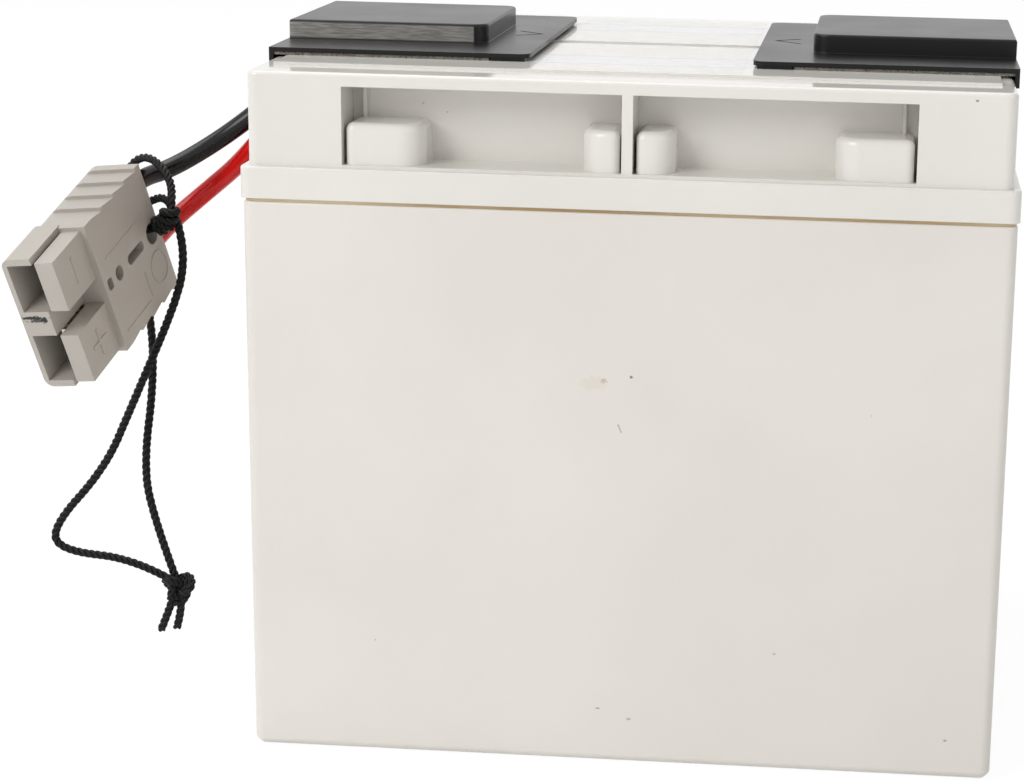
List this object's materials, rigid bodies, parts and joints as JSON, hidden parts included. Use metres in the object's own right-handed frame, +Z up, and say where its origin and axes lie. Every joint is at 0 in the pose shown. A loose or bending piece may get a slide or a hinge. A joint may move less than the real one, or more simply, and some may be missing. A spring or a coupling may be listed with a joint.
{
  "type": "ups battery cartridge",
  "caption": "Pair of sealed batteries joined side by side, with terminal covers, a two-pole connector on short leads and a pull cord.",
  "frame": {"origin": "middle of the pair's footprint, on the surface it stands on", "axes": "+X along the long side towards the right-hand cover, +Y from the front battery to the rear one, +Z up"},
  "size_m": [0.254, 0.1528, 0.1727],
  "materials": {
    "front_case": "semi-gloss moulded",
    "rear_case": "semi-gloss moulded",
    "front_seam": "cured glue",
    "rear_seam": "cured glue",
    "front_lid": "glossy moulded",
    "rear_lid": "glossy moulded",
    "front_strip": "glossy moulded",
    "rear_strip": "glossy moulded",
    "front_caps": "moulded rubber",
    "rear_caps": "moulded rubber",
    "front_plates": "pasted lead plates and glass mat",
    "rear_plates": "pasted lead plates and glass mat",
    "front_terminals": "tinned lead",
    "rear_terminals": "tinned lead",
    "washers": "zinc plated",
    "screws": "zinc plated",
    "link_bar": "tinned copper",
    "lugs": "tinned copper",
    "left_cover": "fine texture",
    "right_cover": "fine texture",
    "foam": "closed-cell foam tape",
    "film": "clear adhesive film",
    "connector": "fine satin moulded",
    "contacts": "silver plated",
    "springs": "spring steel",
    "black_wire": "glossy wire sleeve",
    "red_wire": "glossy wire sleeve",
    "cord": "braided"
  },
  "bodies": {
    "root": {"front_container": "front_case", "rear_container": "rear_case", "front_lid_seam": "front_seam", "rear_lid_seam": "rear_seam", "front_lid": "front_lid", "rear_lid": "rear_lid", "front_vent_strip": "front_strip", "rear_vent_strip": "rear_strip", "front_valve_caps": "front_caps", "rear_valve_caps": "rear_caps", "front_plate_packs": "front_plates", "rear_plate_packs": "rear_plates", "front_terminals": "front_terminals", "rear_terminals": "rear_terminals", "terminal_washers": "washers", "terminal_screws": "screws", "series_link_bar": "link_bar", "lead_lugs": "lugs", "left_cover": "left_cover", "right_cover": "right_cover", "joining_foam": "foam", "clear_film": "film", "connector_housing": "connector", "connector_contacts": "contacts", "contact_springs": "springs", "black_lead": "black_wire", "red_lead": "red_wire", "pull_cord": "cord"}
  },
  "joints": []
}
